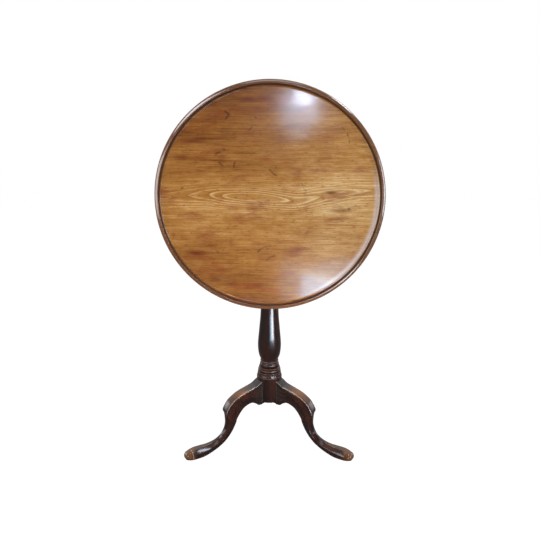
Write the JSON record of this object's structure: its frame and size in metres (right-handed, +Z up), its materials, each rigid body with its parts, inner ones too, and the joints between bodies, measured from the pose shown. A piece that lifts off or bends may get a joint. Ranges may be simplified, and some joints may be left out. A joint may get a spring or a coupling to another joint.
{
  "type": "tripod tea table",
  "caption": "Tilt-top tripod tea table: a round dished wooden top on a birdcage that swivels on a turned pillar with cabriole legs and pad feet, held flat by a brass catch.",
  "frame": {"origin": "on the floor, under the middle of the bounding box at rest", "axes": "+Z up; the face of the tipped top looks along -Y; +X to the viewer's right and along the tilt axis"},
  "size_m": [0.6118, 0.433, 1.0586],
  "materials": {
    "figured_mahogany": "old waxed and polished, warm brown with horizontal figure",
    "dark_mahogany": "polished, near-black red-brown",
    "brass": "aged brass",
    "steel": "darkened iron screws"
  },
  "bodies": {
    "base": {"pillar": "dark_mahogany", "leg_front_left": "dark_mahogany", "leg_front_right": "dark_mahogany", "leg_rear": "dark_mahogany", "cage_collar": "dark_mahogany", "wedge_key": "dark_mahogany"},
    "cage": {"cage_upper_plate": "dark_mahogany", "cage_lower_plate": "dark_mahogany", "cage_column_front_left": "dark_mahogany", "cage_column_front_right": "dark_mahogany", "cage_column_rear_left": "dark_mahogany", "cage_column_rear_right": "dark_mahogany", "strike_plate": "brass", "strike_screw_left": "steel", "strike_screw_right": "steel"},
    "top": {"top_board": "figured_mahogany", "bearer_left": "dark_mahogany", "bearer_right": "dark_mahogany", "bearer_screw_left_1": "steel", "bearer_screw_left_2": "steel", "bearer_screw_left_3": "steel", "bearer_screw_right_1": "steel", "bearer_screw_right_2": "steel", "bearer_screw_right_3": "steel", "catch_case": "brass", "catch_screw_left_near": "steel", "catch_screw_left_far": "steel", "catch_screw_right_near": "steel", "catch_screw_right_far": "steel"},
    "catch_bolt": {"catch_bolt": "brass", "catch_knob": "brass"}
  },
  "joints": [
    {"name": "cage_swivel", "type": "hinge", "parent": "base", "child": "cage", "pos_m": [0, -0.06503, 0.5757], "axis": [0, 0, 1], "continuous": true},
    {"name": "top_tilt", "type": "hinge", "parent": "cage", "child": "top", "pos_m": [0, -0.13903, 0.6787], "axis": [1, 0, 0], "range_deg": [-90, 0]},
    {"name": "catch_slide", "type": "slide", "parent": "top", "child": "catch_bolt", "axis": [0, 0, -1], "range_m": [0, 0.01]}
  ]
}
